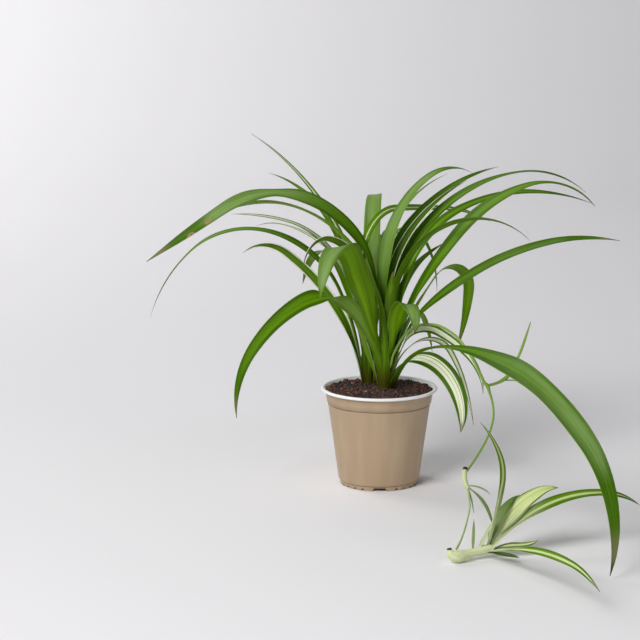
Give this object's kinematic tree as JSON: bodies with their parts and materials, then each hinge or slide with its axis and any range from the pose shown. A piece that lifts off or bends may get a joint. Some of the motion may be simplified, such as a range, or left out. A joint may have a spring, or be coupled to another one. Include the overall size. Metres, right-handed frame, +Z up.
{
  "type": "potted spider plant",
  "caption": "Spider plant in a tapered nursery pot, with arching strap leaves and a runner that carries young plants down to the surface.",
  "frame": {"origin": "centre of the pot's underside, on the surface that it stands on", "axes": "+Z up; -Y towards the viewer and the trailing young plant; +X towards the viewer's right"},
  "size_m": [0.4827, 0.724, 0.3543],
  "materials": {
    "pot": "satin taupe plastic with a white rolled lip",
    "soil": "dark crumbly peat",
    "sheath": "pale green, waxy",
    "leaf": "green, waxy, faintly ribbed",
    "leaf_striped": "green with cream stripes, waxy",
    "runner": "yellow green, smooth",
    "young": "yellow green with cream stripes, waxy"
  },
  "bodies": {
    "root": {"crown_back": "sheath", "crown_front": "sheath", "leaf_arching_left": "leaf", "leaf_blunt_back": "leaf", "leaf_broad_right": "leaf", "leaf_cream_left": "leaf_striped", "leaf_cream_right": "leaf_striped", "leaf_curled_front": "leaf", "leaf_curled_left": "leaf_striped", "leaf_dangling_rear": "leaf", "leaf_dark_right": "leaf", "leaf_drooping_left": "leaf", "leaf_edge_front": "leaf_striped", "leaf_edged_left": "leaf_striped", "leaf_folded_front": "leaf", "leaf_high_right": "leaf", "leaf_hooked_right": "leaf", "leaf_level_rear": "leaf_striped", "leaf_long_right": "leaf", "leaf_low_left": "leaf", "leaf_narrow_right": "leaf", "leaf_pointing_left": "leaf", "leaf_rear_arching": "leaf_striped", "leaf_rear_broad": "leaf", "leaf_rear_low": "leaf", "leaf_rear_right": "leaf", "leaf_rear_slim": "leaf", "leaf_short_centre": "leaf", "leaf_slim_left": "leaf", "leaf_striped_left": "leaf_striped", "leaf_striped_right": "leaf_striped", "leaf_sweeping_front": "leaf", "leaf_thin_right": "leaf", "leaf_twisted_left": "leaf", "leaf_upright_dark": "leaf_striped", "leaf_upright_pale": "leaf", "leaf_upright_rear": "leaf", "leaf_upright_slim": "leaf", "pot": "pot", "runner": "runner", "soil": "soil", "young_plant": "young"}
  },
  "joints": []
}
